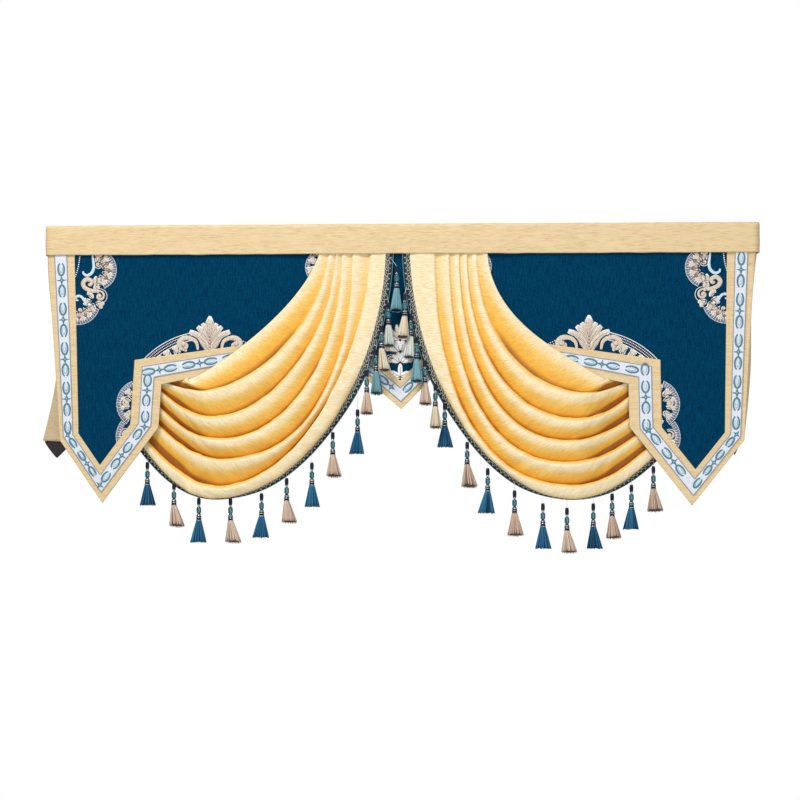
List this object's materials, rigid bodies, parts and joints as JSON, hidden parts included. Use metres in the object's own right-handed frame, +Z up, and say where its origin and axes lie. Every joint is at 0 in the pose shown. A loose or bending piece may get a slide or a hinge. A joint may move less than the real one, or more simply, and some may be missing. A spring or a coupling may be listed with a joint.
{
  "type": "embroidered curtain",
  "caption": "Swagged pelmet curtain: a gold heading with returns, embroidered teal end panels with pointed tails, draped gold swags and a tasselled trim.",
  "frame": {"origin": "middle of the heading's top edge, on the flat back of the heading", "axes": "+X to the viewer's right along the heading, +Y back towards the wall, +Z up; the front faces -Y"},
  "size_m": [1.5368, 0.1402, 0.6905],
  "materials": {
    "pale_gold": "crinkled satin weave, soft sheen",
    "gold_satin": "crinkled satin weave, soft sheen",
    "teal_chenille": "chenille pile, matt",
    "chain_braid": "woven jacquard braid, matt",
    "grey_gimp": "looped gimp braid, matt",
    "dark_lining": "plain lining, matt",
    "blue_tassel": "rayon yarn, silky",
    "pink_tassel": "rayon yarn, silky",
    "teal_tassel": "rayon yarn, silky",
    "mint_tassel": "rayon yarn, silky",
    "cream_tassel": "rayon yarn, silky"
  },
  "bodies": {
    "root": {"heading": "pale_gold", "left_panel": "teal_chenille", "right_panel": "teal_chenille", "centre_tail": "teal_chenille", "left_border": "pale_gold", "right_border": "pale_gold", "centre_border": "pale_gold", "left_braid": "chain_braid", "right_braid": "chain_braid", "centre_braid": "chain_braid", "left_swag": "gold_satin", "right_swag": "gold_satin", "left_gimp": "grey_gimp", "right_gimp": "grey_gimp", "left_return": "pale_gold", "right_return": "pale_gold", "left_return_lining": "dark_lining", "right_return_lining": "dark_lining", "tassel_01": "blue_tassel", "tassel_02": "pink_tassel", "tassel_03": "blue_tassel", "tassel_04": "pink_tassel", "tassel_05": "blue_tassel", "tassel_06": "pink_tassel", "tassel_07": "blue_tassel", "tassel_08": "pink_tassel", "tassel_09": "blue_tassel", "tassel_10": "blue_tassel", "tassel_11": "pink_tassel", "tassel_12": "blue_tassel", "tassel_13": "pink_tassel", "tassel_14": "blue_tassel", "tassel_15": "pink_tassel", "tassel_16": "blue_tassel", "tassel_17": "pink_tassel", "tassel_18": "blue_tassel", "tassel_19": "pink_tassel", "tassel_20": "teal_tassel", "tassel_21": "cream_tassel", "tassel_22": "mint_tassel", "tassel_23": "mint_tassel", "tassel_24": "cream_tassel", "tassel_25": "teal_tassel", "tassel_26": "teal_tassel", "tassel_27": "pink_tassel", "tassel_28": "pink_tassel", "tassel_29": "cream_tassel"}
  },
  "joints": []
}
